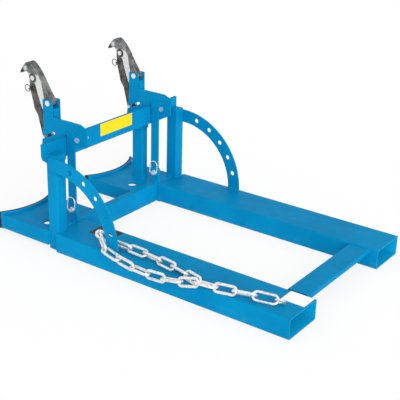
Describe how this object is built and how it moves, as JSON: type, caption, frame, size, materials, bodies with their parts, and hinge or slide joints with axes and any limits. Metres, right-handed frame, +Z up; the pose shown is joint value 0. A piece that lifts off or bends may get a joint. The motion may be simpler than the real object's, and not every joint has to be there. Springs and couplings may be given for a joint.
{
  "type": "forklift drum lifter",
  "caption": "Blue fork-mounted steel frame that lifts drums side by side, with curved rubber-faced cradles, beak grippers that close on the drum rims, and a loose safety chain.",
  "frame": {"origin": "middle of the front cross member's underside, on the floor", "axes": "+X back towards the truck along the fork tubes, +Y to the right, +Z up"},
  "size_m": [1.6068, 1.0315, 0.806],
  "materials": {
    "blue_paint": "gloss",
    "jaw_steel": "satin",
    "lever_steel": "satin",
    "zinc": "satin",
    "rubber": "matt",
    "yellow_plate": "satin",
    "white_plate": "satin",
    "black_plate": "satin"
  },
  "bodies": {
    "frame": {"front_cross_member": "blue_paint", "rear_cross_member": "blue_paint", "left_fork_tube": "blue_paint", "left_fork_stop": "blue_paint", "right_fork_tube": "blue_paint", "right_fork_stop": "blue_paint", "upper_crossbar": "blue_paint", "left_mast": "blue_paint", "right_mast": "blue_paint", "left_quadrant_brace": "blue_paint", "right_quadrant_brace": "blue_paint", "left_deck_plate": "blue_paint", "left_deck_near_side": "blue_paint", "left_deck_far_side": "blue_paint", "left_cradle_plate": "blue_paint", "left_cradle_pad": "rubber", "left_pad_bolts": "zinc", "right_deck_plate": "blue_paint", "right_deck_near_side": "blue_paint", "right_deck_far_side": "blue_paint", "right_cradle_plate": "blue_paint", "right_cradle_pad": "rubber", "right_pad_bolts": "zinc", "left_head_stay_plate": "blue_paint", "left_head_plain_plate": "blue_paint", "left_neck_web": "blue_paint", "left_head_post": "blue_paint", "left_head_bolt": "zinc", "left_beak_pivot_pin": "zinc", "left_stay_bar": "blue_paint", "left_stay_lug": "blue_paint", "right_head_stay_plate": "blue_paint", "right_head_plain_plate": "blue_paint", "right_neck_web": "blue_paint", "right_head_post": "blue_paint", "right_head_bolt": "zinc", "right_beak_pivot_pin": "zinc", "right_stay_bar": "blue_paint", "right_stay_lug": "blue_paint", "snap_hook": "zinc", "safety_chain": "zinc", "yellow_plate": "yellow_plate", "white_plate": "white_plate", "black_plate": "black_plate"},
    "left_jaw": {"left_beak": "jaw_steel", "left_lever_pin": "zinc"},
    "left_trigger": {"left_trigger_lever": "lever_steel", "left_guide_pin": "zinc"},
    "left_lock": {"left_locking_pin": "zinc"},
    "left_pull": {"left_pull_ring": "zinc"},
    "left_release": {"left_release_ring": "lever_steel"},
    "right_jaw": {"right_beak": "jaw_steel", "right_lever_pin": "zinc"},
    "right_trigger": {"right_trigger_lever": "lever_steel", "right_guide_pin": "zinc"},
    "right_lock": {"right_locking_pin": "zinc"},
    "right_pull": {"right_pull_ring": "zinc"},
    "right_release": {"right_release_ring": "lever_steel"},
    "hook_gate": {"snap_gate": "zinc"}
  },
  "joints": [
    {"name": "left_jaw_open", "type": "hinge", "parent": "frame", "child": "left_jaw", "pos_m": [-0.133, -0.305, 0.637], "axis": [0, 1, 0], "range_deg": [0, 10]},
    {"name": "left_trigger_swing", "type": "hinge", "parent": "left_jaw", "child": "left_trigger", "pos_m": [-0.229, -0.305, 0.736], "axis": [0, 1, 0], "range_deg": [-20.5, 0.1]},
    {"name": "left_lock_pull", "type": "slide", "parent": "frame", "child": "left_lock", "axis": [0, -1, 0], "range_m": [0, 0.025]},
    {"name": "left_pull_ring_turn", "type": "hinge", "parent": "left_lock", "child": "left_pull", "pos_m": [0.0085, -0.3503, 0.157], "axis": [1, 0, 0], "range_deg": [0, 30]},
    {"name": "left_release_ring_turn", "type": "hinge", "parent": "left_trigger", "child": "left_release", "pos_m": [-0.252, -0.32, 0.682], "axis": [0, 0, 1], "range_deg": [0, 80]},
    {"name": "right_jaw_open", "type": "hinge", "parent": "frame", "child": "right_jaw", "pos_m": [-0.133, 0.305, 0.637], "axis": [0, 1, 0], "range_deg": [0, 10]},
    {"name": "right_trigger_swing", "type": "hinge", "parent": "right_jaw", "child": "right_trigger", "pos_m": [-0.229, 0.305, 0.736], "axis": [0, 1, 0], "range_deg": [-20.5, 0.1]},
    {"name": "right_lock_pull", "type": "slide", "parent": "frame", "child": "right_lock", "axis": [0, -1, 0], "range_m": [0, 0.025]},
    {"name": "right_pull_ring_turn", "type": "hinge", "parent": "right_lock", "child": "right_pull", "pos_m": [0.0085, 0.2597, 0.157], "axis": [1, 0, 0], "range_deg": [0, 100]},
    {"name": "right_release_ring_turn", "type": "hinge", "parent": "right_trigger", "child": "right_release", "pos_m": [-0.252, 0.29, 0.682], "axis": [0, 0, 1], "range_deg": [0, 80]},
    {"name": "hook_gate_open", "type": "hinge", "parent": "frame", "child": "hook_gate", "pos_m": [1.10801, -0.45214, 0.10429], "axis": [0.2434, -0.6481, 0.7216], "range_deg": [0, 25], "stiffness_Nm_per_rad": 0.3, "springref_deg": -17.19}
  ],
  "couplings": [
    {"joint": "left_trigger_swing", "follows": "left_jaw_open", "ratio": -2.03},
    {"joint": "right_trigger_swing", "follows": "right_jaw_open", "ratio": -2.03}
  ]
}
